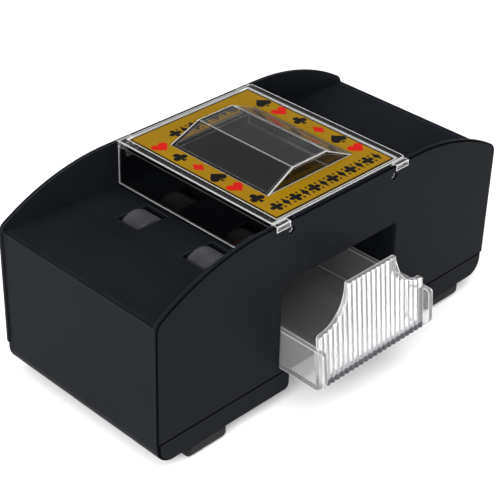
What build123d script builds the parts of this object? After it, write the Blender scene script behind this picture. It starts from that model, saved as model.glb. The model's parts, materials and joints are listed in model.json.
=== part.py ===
from build123d import *
import os
from math import acos, atan2, cos, degrees, hypot, pi, radians, sin, tan

# Automatic card shuffler for two decks, at its real size in millimetres.
# X runs along its length, Y across it and Z up. The origin is on the table,
# at the centre of the four feet. The collecting tray comes out at the front, -Y.

# ---- driving dimensions ----

half_length = 103.5       # side panels, along X
half_width = 48.4         # outer faces of the side panels, along Y
panel_thickness = 2.2
top_z = 91.2              # flat top edge of the side panels
top_flat_half = 45.0      # where the flat top edge starts to curve down
shoulder_z = 73.9         # where that curve would meet the panel's end
shoulder_radius = 5.5
foot_height = 5.5
seam_z = 16.8             # joint between the base shell and the side panels
shell_floor = 2.0
end_inset = 0.6           # end walls stand this far inside the panel ends
end_wall_thickness = 2.3
end_wall_top = 72.0
base_end_radius = 8.0
base_side_radius = 1.6

bay_slope = radians(3.0)  # bay floors fall towards the middle
bay_floor_thickness = 2.0
chamber_half = 37.3       # inner faces of the two chamber walls
chamber_wall = 1.8
chamber_wall_bottom = 26.0

card_slot = 2.1           # height of the gap that lets one card through
roller_x = 50.0           # distance of each roller shaft from the middle
roller_radius = 10.0
roller_proud = 1.0        # how far a roller stands above the bay floor
roller_width = 12.0
roller_spacing = 40.0     # centre to centre of the two rollers on a shaft
shaft_radius = 1.5

module = 0.5
pressure_angle = radians(20)
backlash = 0.12
roller_teeth = 24
small_teeth = 12
big_teeth = 36
pinion_teeth = 10
reduction_angle = radians(-65)   # from the roller shaft to the reduction gear
motor_angle = radians(-65)       # from the reduction gear to the motor

tray_opening_half = 35.6
tray_opening_bottom = 18.5
tray_opening_top = 62.0
tray_half = 34.9
tray_bottom = 19.7
tray_wall = 1.6
tray_front = -70.4        # foot of the tray's fluted front wall, partly pulled out
tray_back = 24.4
tray_side_top = 38.5
tray_lean = degrees(0.107)       # the front wall leans back by this angle
flute_half = 32.8
flute_count = 22
flute_depth = 0.9

cover_half_length = 40.2
cover_bottom = 88.9
cover_top = 90.9
cover_rim_top = 91.6
label_half_length = 35.6
label_half_width = 43.7
label_thickness = 0.4
window_half_length = 25.5
window_half_width = 29.0
ridge_half_length = 10.0
ridge_half_width = 28.0
window_top = 98.0
window_wall = 1.5

play = 0.3                # gap left between pieces that move past each other
running = 0.05            # radial gap of a shaft in its bush

# ---- values worked out from them ----

panel_inner = half_width - panel_thickness
end_outer = half_length - end_inset
end_inner = end_outer - end_wall_thickness
floor_end = end_inner - 0.1
floor_end_z = end_wall_top - 0.2
plate_out = 36.0          # outer face of the plates that carry the shafts
plate_thickness = 2.0
plate_in = plate_out - plate_thickness


def bay_z(x):
    """Height of the bay floor's upper face at a distance x from the middle."""
    return floor_end_z - (floor_end - x) * tan(bay_slope)


def under_z(x):
    """Height of the bay floor's underside."""
    return bay_z(x) - bay_floor_thickness


roller_z = bay_z(roller_x) + roller_proud - roller_radius
roller_mesh = module * (roller_teeth + small_teeth) / 2
gear_x = roller_x + roller_mesh * cos(reduction_angle)
gear_z = roller_z + roller_mesh * sin(reduction_angle)
motor_mesh = module * (big_teeth + pinion_teeth) / 2
motor_x = gear_x + motor_mesh * cos(motor_angle)
motor_z = gear_z + motor_mesh * sin(motor_angle)

os.makedirs("parts", exist_ok=True)


def write(piece, label):
    """Label a finished piece and write its STEP file."""
    piece.label = label
    export_step(piece, f"parts/{label}.step")


def write_both(piece, label):
    """Write a right-hand piece, and its mirror image for the left-hand side."""
    write(piece, f"right_{label}")
    write(mirror(piece, about=Plane.YZ), f"left_{label}")


def across(y):
    """The plane at this y whose sketches read X to the right and Z up."""
    return Plane.XZ.offset(-y)


# ---- base shell: tub, end walls, foot sockets, screw posts ----

foot_x, foot_length, foot_depth, foot_peg = 76.15, 22.3, 13.0, 3.0
foot_y = half_width - foot_depth / 2
foot_corner, foot_lip = 2.0, 0.75   # the lip fills the rounding of the base above the foot
post_x, post_y, post_radius = 94.0, 41.0, 3.5
case_screw_radius = 1.5
case_head_radius, case_head_depth = 2.8, 4.0
finger_half, finger_flare, finger_back, finger_top = 29.0, 4.0, -34.0, 15.0
finger_wall = 2.0

cells_x0, cells_x1 = -93.1, -39.0        # inside of the battery box
cells_half = 29.1
box_wall, box_top = 1.5, 24.5
door_lip = 1.2
door_gap = 0.25
door_plate = 1.0
door_screw_x, door_screw_y = -50.0, 35.0
door_tongue_half, door_tongue_end = 5.0, 39.5
door_boss_radius, door_boss_top = 3.5, 15.0
door_screw_radius = 1.2
cells_x = (cells_x0 + cells_x1) / 2
cells_length = cells_x1 - cells_x0

floor_top = foot_height + shell_floor

with BuildPart() as base_shell:
    with BuildSketch(across(half_width)) as tub_outline:
        with Locations((0, (foot_height + seam_z) / 2)):
            Rectangle(2 * end_outer, seam_z - foot_height)
        fillet(tub_outline.vertices().group_by(Axis.Y)[0], base_end_radius)
    extrude(amount=2 * half_width)
    lower = base_shell.edges().filter_by(Axis.X).group_by(Axis.Z)[0]
    fillet(lower, base_side_radius)
    with BuildSketch(across(panel_inner)) as tub_inside:
        with Locations((0, (floor_top + seam_z) / 2)):
            Rectangle(2 * end_inner, seam_z - floor_top)
        fillet(tub_inside.vertices().group_by(Axis.Y)[0], base_end_radius - shell_floor)
    extrude(amount=2 * panel_inner, mode=Mode.SUBTRACT)
    with BuildSketch(Plane.XY.offset(seam_z)):
        with GridLocations(end_outer + end_inner, 0, 2, 1):
            Rectangle(end_wall_thickness, 2 * panel_inner)
    extrude(amount=end_wall_top - seam_z)
    # Finger recess under the tray, closed off from the inside of the base.
    with BuildSketch(Plane.XY.offset(floor_top)):
        with Locations((0, (finger_back + finger_wall - panel_inner) / 2)):
            Rectangle(2 * (finger_half + finger_wall), panel_inner + finger_back + finger_wall)
    extrude(amount=seam_z - floor_top)
    with BuildSketch(across(finger_back)):
        with BuildLine():
            flare_top = foot_height + finger_flare
            Polyline((0, finger_top), (finger_half, finger_top), (finger_half, flare_top))
            flare = JernArc((finger_half, flare_top), tangent=(0, -1), radius=finger_flare, arc_size=90)
            Line(flare @ 1, (0, foot_height))
            mirror(about=Plane.YZ)
        make_face()
    extrude(amount=half_width + finger_back, mode=Mode.SUBTRACT)
    # Screw posts at the corners, and the battery door's screw boss.
    with BuildSketch(Plane.XY.offset(floor_top)):
        with GridLocations(2 * post_x, 2 * post_y, 2, 2):
            Circle(post_radius)
    extrude(amount=seam_z - floor_top)
    with BuildSketch(Plane.XY.offset(floor_top)):
        with Locations((door_screw_x, door_screw_y)):
            Circle(door_boss_radius)
    extrude(amount=door_boss_top - floor_top)
    with BuildSketch(Plane.XY.offset(foot_height)):
        with GridLocations(2 * post_x, 2 * post_y, 2, 2):
            Circle(case_screw_radius + running)
    extrude(amount=seam_z - foot_height, mode=Mode.SUBTRACT)
    with BuildSketch(Plane.XY.offset(foot_height)):
        with GridLocations(2 * post_x, 2 * post_y, 2, 2):
            Circle(case_head_radius + 0.2)
    extrude(amount=case_head_depth, mode=Mode.SUBTRACT)
    with BuildSketch(Plane.XY.offset(foot_height)):
        with GridLocations(2 * foot_x, 2 * foot_y, 2, 2):
            Circle(foot_peg)
    extrude(amount=shell_floor, mode=Mode.SUBTRACT)
    # Battery opening, with a rebate for the door's edge and its screw tongue.
    with BuildSketch(Plane.XY.offset(foot_height)):
        with Locations((cells_x, 0)):
            Rectangle(cells_length, 2 * cells_half)
    extrude(amount=shell_floor, mode=Mode.SUBTRACT)
    with BuildSketch(Plane.XY.offset(foot_height)):
        with Locations((cells_x, 0)):
            Rectangle(cells_length + 2 * door_lip, 2 * (cells_half + door_lip))
    extrude(amount=door_plate, mode=Mode.SUBTRACT)
    with BuildSketch(Plane.XY.offset(foot_height)):
        with Locations((door_screw_x, (cells_half + door_tongue_end) / 2)):
            Rectangle(2 * door_tongue_half, door_tongue_end - cells_half)
    extrude(amount=door_plate, mode=Mode.SUBTRACT)
    with BuildSketch(Plane.XY.offset(foot_height)):
        with Locations((door_screw_x, door_screw_y)):
            Circle(door_screw_radius + running)
    extrude(amount=door_boss_top - foot_height - 1, mode=Mode.SUBTRACT)
write(base_shell.part, "base_shell")

# ---- feet ----

for side_x, end_name in ((-1, "left"), (1, "right")):
    for side_y, face_name in ((-1, "front"), (1, "back")):
        with BuildPart() as foot:
            with BuildSketch(Plane.XY):
                with Locations((side_x * foot_x, side_y * foot_y)):
                    Rectangle(foot_length, foot_depth)
            extrude(amount=foot_height)
            fillet(foot.edges().filter_by(Axis.Z), foot_corner)
            fillet(foot.edges().filter_by(Axis.Y).group_by(Axis.Z)[0], 3.0)
            with BuildSketch(Plane.YZ.offset(side_x * foot_x)):
                with Locations((side_y * (half_width - base_side_radius / 2), foot_height + foot_lip / 2)):
                    Rectangle(base_side_radius, foot_lip)
                with Locations((side_y * (half_width - base_side_radius), foot_height + base_side_radius)):
                    Circle(base_side_radius + running, mode=Mode.SUBTRACT)
            extrude(amount=foot_length / 2 - foot_corner, both=True)
            with BuildSketch(Plane.XY.offset(foot_height)):
                with Locations((side_x * foot_x, side_y * foot_y)):
                    Circle(foot_peg)
            extrude(amount=shell_floor)
        write(foot.part, f"{end_name}_{face_name}_foot")

# ---- side panels ----

notch_x, notch_width, notch_depth = 36.0, 8.4, 3.0
snap_x, snap_z, snap_hole_radius = 31.2, 86.0, 1.9
groove_width, groove_depth, groove_drop = 3.8, 1.3, 1.9
ledge = 1.6               # rib that a bay floor rests on
ledge_start, ledge_end = chamber_half + chamber_wall, 98.0
boss_top = 32.0
rim_radius, rim_shortest = 1.0, 2.5
seam_gap, seam_depth = 0.4, 0.8     # shadow line between the panel and the base


with BuildSketch() as panel_outline:
    with BuildLine():
        foot_line = Line((0, seam_z), (half_length, seam_z))
        end_line = Line(foot_line @ 1, (half_length, shoulder_z))
        top_line = Line((0, top_z), (top_flat_half, top_z))
        TangentArc(top_line @ 1, end_line @ 1, tangent=(1, 0))
        mirror(about=Plane.YZ)
    make_face()
    shoulders = panel_outline.vertices().filter_by(
        lambda v: v.Y > shoulder_z - 1 and abs(v.X) > half_length - 1)
    fillet(shoulders, shoulder_radius)
    with Locations((-notch_x, top_z), (notch_x, top_z)):
        Rectangle(notch_width, 2 * notch_depth, mode=Mode.SUBTRACT)

button_x, button_z = 88.0, 48.0
button_radius, button_gap = 6.5, 0.2

for side, face_name in ((-1, "front"), (1, "back")):
    # Each feature is drawn on its plane further back, and extruded towards the front.
    outer_back = max(side * half_width, side * panel_inner)
    with BuildPart() as side_panel:
        with BuildSketch(across(outer_back)):
            add(panel_outline.sketch)
            if side < 0:
                with Locations((0, (tray_opening_bottom + tray_opening_top) / 2)):
                    RectangleRounded(2 * tray_opening_half, tray_opening_top - tray_opening_bottom,
                                     2.5, mode=Mode.SUBTRACT)
            else:
                with Locations((button_x, button_z)):
                    Circle(button_radius + button_gap, mode=Mode.SUBTRACT)
        extrude(amount=panel_thickness)
        # The outer edge is rounded all the way along the top and down both ends.
        rim = side_panel.edges().filter_by(
            lambda e: side * e.center().Y > half_width - 0.1 and e.length > rim_shortest
            and (e.center().Z > top_z - 0.1 or abs(e.center().X) > top_flat_half))
        fillet(rim.filter_by(lambda e: e.center().Z > seam_z + 1), rim_radius)
        with BuildSketch(Plane.XY.offset(seam_z)):
            with Locations((0, side * (half_width - seam_depth / 2))):
                Rectangle(2 * half_length, seam_depth)
        extrude(amount=seam_gap, mode=Mode.SUBTRACT)
        # Sloping ribs that the bay floors rest on.
        with BuildSketch(across(panel_inner if side > 0 else ledge - panel_inner)):
            with BuildLine():
                Polyline((ledge_start, under_z(ledge_start)), (ledge_end, under_z(ledge_end)),
                         (ledge_end, under_z(ledge_end) - ledge),
                         (ledge_start, under_z(ledge_start) - ledge), close=True)
            make_face()
            mirror(about=Plane.YZ)
        extrude(amount=ledge)
        # Screw bosses.
        with BuildSketch(Plane.XY.offset(seam_z)):
            with Locations((-post_x, side * post_y), (post_x, side * post_y)):
                Circle(post_radius)
            with Locations((-post_x, side * (post_y + panel_inner) / 2),
                           (post_x, side * (post_y + panel_inner) / 2)):
                Rectangle(2 * post_radius, panel_inner - post_y)
        extrude(amount=boss_top - seam_z)
        with BuildSketch(Plane.XY.offset(seam_z)):
            with Locations((-post_x, side * post_y), (post_x, side * post_y)):
                Circle(case_screw_radius)
        extrude(amount=boss_top - seam_z - 2, mode=Mode.SUBTRACT)
        # Grooves that the cover's snap pins slide down, and the holes they end in.
        with BuildSketch(across(panel_inner + groove_depth if side > 0 else -panel_inner)):
            with Locations((-snap_x, (snap_z - groove_drop + top_z) / 2),
                           (snap_x, (snap_z - groove_drop + top_z) / 2)):
                Rectangle(groove_width, top_z - snap_z + groove_drop)
        extrude(amount=groove_depth, mode=Mode.SUBTRACT)
        with BuildSketch(across(outer_back)):
            with Locations((-snap_x, snap_z), (snap_x, snap_z)):
                Circle(snap_hole_radius)
        extrude(amount=panel_thickness, mode=Mode.SUBTRACT)
    write(side_panel.part, f"{face_name}_side_panel")

# ---- bay floors, each with its chamber wall and the bars that hold the plates ----

slot_half_x, slot_width = 8.8, 13.4
bar_x0, bar_x1, bar_depth, bar_height = 62.0, 99.0, 6.0, 8.0
plate_screw_xs = (66.0, 78.0)
bracket_screw_xs = (83.5, 96.0)
plate_screw_drop = 4.0    # below the floor's underside
plate_screw_radius = 1.1
plate_screw_length = 6.0


def bay_floor(screw_xs):
    """A right-hand bay floor, with blind screw holes at screw_xs in its back bar."""
    with BuildPart() as floor:
        wall_out = chamber_half + chamber_wall
        with BuildSketch(across(panel_inner)):
            with BuildLine():
                Polyline((chamber_half, chamber_wall_bottom), (wall_out, chamber_wall_bottom),
                         (wall_out, under_z(wall_out)), (floor_end, under_z(floor_end)),
                         (floor_end, bay_z(floor_end)), (chamber_half, bay_z(chamber_half)),
                         close=True)
            make_face()
        extrude(amount=2 * panel_inner)
        with BuildSketch(Plane.XY.offset(under_z(roller_x) - 2)):
            with Locations((roller_x, 0)):
                with GridLocations(0, roller_spacing, 1, 2):
                    Rectangle(2 * slot_half_x, slot_width)
        extrude(amount=bay_floor_thickness + 4, mode=Mode.SUBTRACT)
        for bar_y, xs in ((plate_in, screw_xs), (-plate_in + bar_depth, plate_screw_xs)):
            with BuildSketch(across(bar_y)):
                with BuildLine():
                    Polyline((bar_x0, under_z(bar_x0)), (bar_x1, under_z(bar_x1)),
                             (bar_x1, under_z(bar_x1) - bar_height),
                             (bar_x0, under_z(bar_x0) - bar_height), close=True)
                make_face()
            extrude(amount=bar_depth)
            with BuildSketch(across(bar_y if bar_y > 0 else bar_y - 1)):
                with Locations(*[(x, under_z(x) - plate_screw_drop) for x in xs]):
                    Circle(plate_screw_radius)
            extrude(amount=bar_depth - 1, mode=Mode.SUBTRACT)
    return floor.part


write(bay_floor(plate_screw_xs + bracket_screw_xs), "right_bay_floor")
write(mirror(bay_floor(plate_screw_xs), about=Plane.YZ), "left_bay_floor")

# ---- plates that carry the shafts, with their bushes ----

bush_radius, bush_flange_radius, bush_flange = 3.0, 4.2, 1.0
axle_radius = 1.0
motor_boss_radius, motor_boss_length = 3.05, 1.6
motor_screw_offset, motor_screw_radius = 8.0, 0.9
plate_x0, plate_x1 = 44.5, 81.0


def plate_outline(x0, x1, lower_points):
    """A plate's face, whose top edge lies along the bay floor's underside."""
    with BuildSketch() as outline:
        with BuildLine():
            Polyline((x0, under_z(x0)), (x1, under_z(x1)), *lower_points, close=True)
        make_face()
    return outline.sketch


def plate_holes():
    """The shaft bush's hole and the two screw holes that every plate has."""
    with Locations((roller_x, roller_z)):
        Circle(bush_radius, mode=Mode.SUBTRACT)
    with Locations(*[(x, under_z(x) - plate_screw_drop) for x in plate_screw_xs]):
        Circle(plate_screw_radius, mode=Mode.SUBTRACT)


with BuildPart() as drive_plate:
    with BuildSketch(across(plate_out)):
        add(plate_outline(plate_x0, plate_x1, [(plate_x1, 58), (72, 34), (48, 34), (plate_x0, 50)]))
        plate_holes()
        with Locations((gear_x, gear_z)):
            Circle(axle_radius, mode=Mode.SUBTRACT)
        with Locations((motor_x, motor_z)):
            Circle(motor_boss_radius, mode=Mode.SUBTRACT)
        with Locations((motor_x - motor_screw_offset, motor_z), (motor_x + motor_screw_offset, motor_z)):
            Circle(motor_screw_radius, mode=Mode.SUBTRACT)
    extrude(amount=plate_thickness)
write_both(drive_plate.part, "drive_plate")

with BuildPart() as support_plate:
    with BuildSketch(across(-plate_in)):
        add(plate_outline(plate_x0, plate_x1, [(plate_x1, 60), (60, 54), (plate_x0, 54)]))
        plate_holes()
    extrude(amount=plate_thickness)
write_both(support_plate.part, "support_plate")

for face_name, face in (("drive", 1), ("support", -1)):
    with BuildPart() as bush:
        with BuildSketch(across(face * plate_out)):
            with Locations((roller_x, roller_z)):
                Circle(bush_radius)
                Circle(shaft_radius + running, mode=Mode.SUBTRACT)
        extrude(amount=face * plate_thickness)
        with BuildSketch(across(face * plate_in)):
            with Locations((roller_x, roller_z)):
                Circle(bush_flange_radius)
                Circle(shaft_radius + running, mode=Mode.SUBTRACT)
        extrude(amount=face * bush_flange)
    write_both(bush.part, f"{face_name}_bush")

head_radius, head_height = 2.1, 1.3
with BuildPart() as plate_screws:
    for side in (-1, 1):
        for face in (-1, 1):
            spots = [(side * x, under_z(x) - plate_screw_drop) for x in plate_screw_xs]
            if side * face > 0 and face > 0:
                spots += [(x, under_z(x) - plate_screw_drop) for x in bracket_screw_xs]
            with BuildSketch(across(face * plate_out)):
                with Locations(*spots):
                    Circle(plate_screw_radius)
            extrude(amount=face * plate_screw_length)
            with BuildSketch(across(face * plate_out)):
                with Locations(*spots):
                    Circle(head_radius)
            extrude(amount=-face * head_height)
write(plate_screws.part, "plate_screws")

# ---- gears ----


def involute(angle):
    return tan(angle) - angle


def gear_outline(teeth, x, z, phase, bore):
    """A spur gear at (x, z) in the current sketch, with one tooth centred at the phase angle."""
    pitch = module * teeth / 2
    base = pitch * cos(pressure_angle)
    root = pitch - 1.25 * module
    tip = pitch + 0.85 * module
    half_tooth = (pi * module / 2 - backlash) / (2 * pitch)
    start = max(base, root + 0.02)
    flank = [start + (tip - start) * step / 3 for step in range(4)]
    turns = [half_tooth + involute(pressure_angle) - involute(acos(base / r)) for r in flank]
    points = []
    for tooth in range(teeth):
        centre = phase + 2 * pi * tooth / teeth
        low = [(root, -turns[0])] + [(r, -t) for r, t in zip(flank, turns)]
        high = [(r, -t) for r, t in reversed(low)]
        points += [(r * cos(centre + t), r * sin(centre + t)) for r, t in low + high]
    with Locations((x, z)):
        Polygon(*points, align=None)
        Circle(bore, mode=Mode.SUBTRACT)


layer_a, layer_b, layer_end = 37.0, 41.0, 43.6     # the two gear layers along Y
layer_a_end = 40.0
hub_radius = 3.4
axle_end, shaft_end = 44.6, 40.5

with BuildPart() as roller_gear:
    with BuildSketch(across(layer_a_end)):
        gear_outline(roller_teeth, roller_x, roller_z, reduction_angle, shaft_radius)
    extrude(amount=layer_a_end - layer_a)
    with BuildSketch(across(layer_a)):
        with Locations((roller_x, roller_z)):
            Circle(hub_radius)
            Circle(shaft_radius, mode=Mode.SUBTRACT)
    extrude(amount=layer_a - plate_out - play)
write_both(roller_gear.part, "roller_gear")

small_phase = reduction_angle + pi + pi / small_teeth
with BuildPart() as reduction_gear:
    with BuildSketch(across(layer_b)):
        gear_outline(small_teeth, gear_x, gear_z, small_phase, axle_radius + running)
    extrude(amount=layer_b - layer_a)
    with BuildSketch(across(layer_end)):
        gear_outline(big_teeth, gear_x, gear_z, motor_angle, axle_radius + running)
    extrude(amount=layer_end - layer_b)
write_both(reduction_gear.part, "reduction_gear")

with BuildPart() as gear_axle:
    with BuildSketch(across(axle_end)):
        with Locations((gear_x, gear_z)):
            Circle(axle_radius)
    extrude(amount=axle_end - plate_in)
    with BuildSketch(across(axle_end)):
        with Locations((gear_x, gear_z)):
            Circle(2 * axle_radius)
    extrude(amount=axle_end - layer_end - play)
write_both(gear_axle.part, "gear_axle")

# ---- roller shafts and rollers ----

with BuildPart() as roller_shaft:
    with BuildSketch(across(shaft_end)):
        with Locations((roller_x, roller_z)):
            Circle(shaft_radius)
    extrude(amount=shaft_end + plate_out + 2)
    chamfer(roller_shaft.edges().filter_by(GeomType.CIRCLE), 0.3)
write_both(roller_shaft.part, "roller_shaft")

for face_name, face in (("front", -1), ("back", 1)):
    with BuildPart() as roller:
        with BuildSketch(across(face * roller_spacing / 2 + roller_width / 2)):
            with Locations((roller_x, roller_z)):
                Circle(roller_radius)
                Circle(shaft_radius, mode=Mode.SUBTRACT)
        extrude(amount=roller_width)
        rims = roller.edges().filter_by(GeomType.CIRCLE).filter_by(lambda e: e.radius > roller_radius - 1)
        fillet(rims, 0.8)
    write_both(roller.part, f"{face_name}_roller")

# ---- motors ----

motor_radius, motor_flat = 10.0, 7.5
can_wall, can_back = 0.8, 11.0
cap_back, cap_plug, cap_boss_back = 9.0, 13.0, 7.6
armature_radius, armature_back, armature_front = 6.6, 15.0, 30.0
rotor_radius, rotor_back, rotor_end = 1.0, 8.4, 44.2
terminal_offset = 5.0


def motor_section(radius, flat):
    """The motor's round section with its two flats, about the motor's axis."""
    with Locations((motor_x, motor_z)):
        Circle(radius)
        Rectangle(2 * radius, 2 * flat, mode=Mode.INTERSECT)


with BuildPart() as motor_can:
    with BuildSketch(across(plate_in)):
        motor_section(motor_radius, motor_flat)
    extrude(amount=plate_in - can_back)
    with BuildSketch(across(plate_in + motor_boss_length)):
        with Locations((motor_x, motor_z)):
            Circle(motor_boss_radius)
    extrude(amount=motor_boss_length)
    with BuildSketch(across(plate_in - 2 * can_wall)):
        motor_section(motor_radius - can_wall, motor_flat - can_wall)
    extrude(amount=plate_in - can_back, mode=Mode.SUBTRACT)
    with BuildSketch(across(plate_out)):
        with Locations((motor_x, motor_z)):
            Circle(rotor_radius + running)
        with Locations((motor_x - motor_screw_offset, motor_z), (motor_x + motor_screw_offset, motor_z)):
            Circle(motor_screw_radius)
    extrude(amount=2 * plate_thickness, mode=Mode.SUBTRACT)
write_both(motor_can.part, "motor_can")

with BuildPart() as motor_cap:
    with BuildSketch(across(can_back)):
        motor_section(motor_radius, motor_flat)
    extrude(amount=can_back - cap_back)
    with BuildSketch(across(cap_plug)):
        motor_section(motor_radius - can_wall, motor_flat - can_wall)
    extrude(amount=cap_plug - can_back)
    with BuildSketch(across(cap_back)):
        with Locations((motor_x, motor_z)):
            Circle(motor_boss_radius)
        with Locations((motor_x - terminal_offset, motor_z), (motor_x + terminal_offset, motor_z)):
            Rectangle(0.6, 2.4)
    extrude(amount=cap_back - cap_boss_back)
    with BuildSketch(across(cap_plug)):
        with Locations((motor_x, motor_z)):
            Circle(rotor_radius + running)
    extrude(amount=cap_plug - rotor_back + play, mode=Mode.SUBTRACT)
write_both(motor_cap.part, "motor_cap")

with BuildPart() as motor_rotor:
    with BuildSketch(across(rotor_end)):
        with Locations((motor_x, motor_z)):
            Circle(rotor_radius)
    extrude(amount=rotor_end - rotor_back)
    with BuildSketch(across(armature_front)):
        with Locations((motor_x, motor_z)):
            Circle(armature_radius)
            with PolarLocations(armature_radius, 3):
                Circle(2.6, mode=Mode.SUBTRACT)
    extrude(amount=armature_front - armature_back)
write_both(motor_rotor.part, "motor_rotor")

pinion_phase = motor_angle + pi + pi / pinion_teeth
with BuildPart() as pinion:
    with BuildSketch(across(layer_end)):
        gear_outline(pinion_teeth, motor_x, motor_z, pinion_phase, rotor_radius)
    extrude(amount=layer_end - layer_b)
write_both(pinion.part, "motor_pinion")

with BuildPart() as motor_screws:
    for side in (-1, 1):
        spots = [(side * (motor_x + shift), motor_z) for shift in (-motor_screw_offset, motor_screw_offset)]
        with BuildSketch(across(plate_out)):
            with Locations(*spots):
                Circle(motor_screw_radius)
        extrude(amount=plate_thickness + 2 * can_wall)
        with BuildSketch(across(plate_out + 0.9)):
            with Locations(*spots):
                Circle(1.7)
        extrude(amount=0.9)
write(motor_screws.part, "motor_screws")

# ---- case screws ----

with BuildPart() as case_screws:
    head_z = foot_height + case_head_depth
    with BuildSketch(Plane.XY.offset(head_z)):
        with GridLocations(2 * post_x, 2 * post_y, 2, 2):
            Circle(case_screw_radius)
    extrude(amount=boss_top - 4 - head_z)
    with BuildSketch(Plane.XY.offset(head_z - 2)):
        with GridLocations(2 * post_x, 2 * post_y, 2, 2):
            Circle(case_head_radius)
            Rectangle(3.2, 0.7, mode=Mode.SUBTRACT)
            Rectangle(0.7, 3.2, mode=Mode.SUBTRACT)
    extrude(amount=1)
    with BuildSketch(Plane.XY.offset(head_z - 1)):
        with GridLocations(2 * post_x, 2 * post_y, 2, 2):
            Circle(case_head_radius)
    extrude(amount=1)
write(case_screws.part, "case_screws")

# ---- collecting tray and the rails it slides on ----

front_top, front_top_half = 61.3, 15.0
front_shoulder = (28.5, 44.5)
front_scoop = (19.0, 50.3)        # a point on the hollow curve beside the raised middle
front_corner_z = 44.0
tray_back_top = 27.0
cheek_proud = 3.0         # the side walls stand this far in front of the flutes
cheek_toe, side_corner = 5.0, 5.0
cheek_top_corner = 1.2

with BuildPart() as card_tray:
    up = Vector(0, sin(radians(tray_lean)), cos(radians(tray_lean)))
    with BuildSketch(Plane(origin=(0, tray_front, tray_bottom), x_dir=(1, 0, 0), z_dir=up)):
        with BuildLine():
            pitch = 2 * flute_half / flute_count
            for flute in range(flute_count):
                x0 = -flute_half + flute * pitch
                ThreePointArc((x0, flute_depth), (x0 + pitch / 2, 0), (x0 + pitch, flute_depth))
            Polyline((flute_half, flute_depth), (flute_half, flute_depth + tray_wall),
                     (-flute_half, flute_depth + tray_wall), (-flute_half, flute_depth))
        make_face()
    extrude(amount=front_top - tray_bottom + 2)
    with BuildSketch(across(tray_front + 10)):
        with BuildLine():
            Line((0, front_top), (front_top_half, front_top))
            ThreePointArc((front_top_half, front_top), front_scoop, front_shoulder)
            Polyline(front_shoulder, (flute_half, front_corner_z), (flute_half, tray_bottom),
                     (0, tray_bottom))
            mirror(about=Plane.YZ)
        front_face = make_face()
        fillet(front_face.vertices().filter_by(lambda v: abs(v.Y - front_corner_z) < 0.1), 1.5)
    extrude(amount=14, mode=Mode.INTERSECT)
    with BuildSketch(Plane.XY.offset(tray_bottom)):
        floor_front = tray_front + flute_depth
        with Locations((0, (floor_front + tray_back) / 2)):
            Rectangle(2 * tray_half, tray_back - floor_front)
    extrude(amount=tray_wall)
    for side in (-1, 1):
        with BuildSketch(Plane.YZ.offset(side * tray_half)) as tray_side:
            cheek_foot = tray_front - cheek_proud
            cheek_lean = (tray_side_top - tray_bottom) * tan(radians(tray_lean))
            with BuildLine():
                Polyline((cheek_foot, tray_bottom), (cheek_foot + cheek_lean, tray_side_top),
                         (tray_back, tray_side_top), (tray_back, tray_bottom), close=True)
            make_face()
            fillet(tray_side.vertices().group_by(Axis.X)[0], cheek_toe)
            fillet(tray_side.vertices().group_by(Axis.Y)[-1].sort_by(Axis.X)[0], cheek_top_corner)
            fillet(tray_side.vertices().group_by(Axis.Y)[-1].sort_by(Axis.X)[-1], side_corner)
        extrude(amount=-side * (tray_half - flute_half + 0.4))
    with BuildSketch(Plane.XY.offset(tray_bottom)):
        with Locations((0, tray_back - tray_wall / 2)):
            Rectangle(2 * tray_half - 1, tray_wall)
    extrude(amount=tray_back_top - tray_bottom)
write(card_tray.part, "card_tray")

rail_inner, rail_outer, rail_top = 35.4, 36.9, 26.0
rail_ledge_inner, rail_ledge_z, rail_ledge_thickness = 31.3, tray_bottom - play, 2.2
rail_back = 40.0

with BuildPart() as tray_rail:
    with BuildSketch(across(rail_back)):
        with BuildLine():
            Polyline((rail_inner, floor_top), (rail_outer, floor_top), (rail_outer, rail_top),
                     (rail_inner, rail_top), (rail_inner, rail_ledge_z),
                     (rail_ledge_inner, rail_ledge_z),
                     (rail_ledge_inner, rail_ledge_z - rail_ledge_thickness),
                     (rail_inner, rail_ledge_z - rail_ledge_thickness), close=True)
        make_face()
    extrude(amount=rail_back + panel_inner)
write_both(tray_rail.part, "tray_rail")

# ---- clear cover over the card chamber, and its label ----

cover_half_width = panel_inner - play
rim_inner_length, rim_inner_width = 36.3, 44.5
cover_wall = 1.5
cover_wall_bottom = bay_z(cover_half_length) + card_slot
ear_width, ear_bottom, ear_top = 7.8, 88.25, 90.9
leg_width, leg_thickness, leg_bottom = 8.0, 1.3, 83.0
snap_pin_radius, snap_pin_end = 1.3, panel_inner + 1.0

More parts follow.
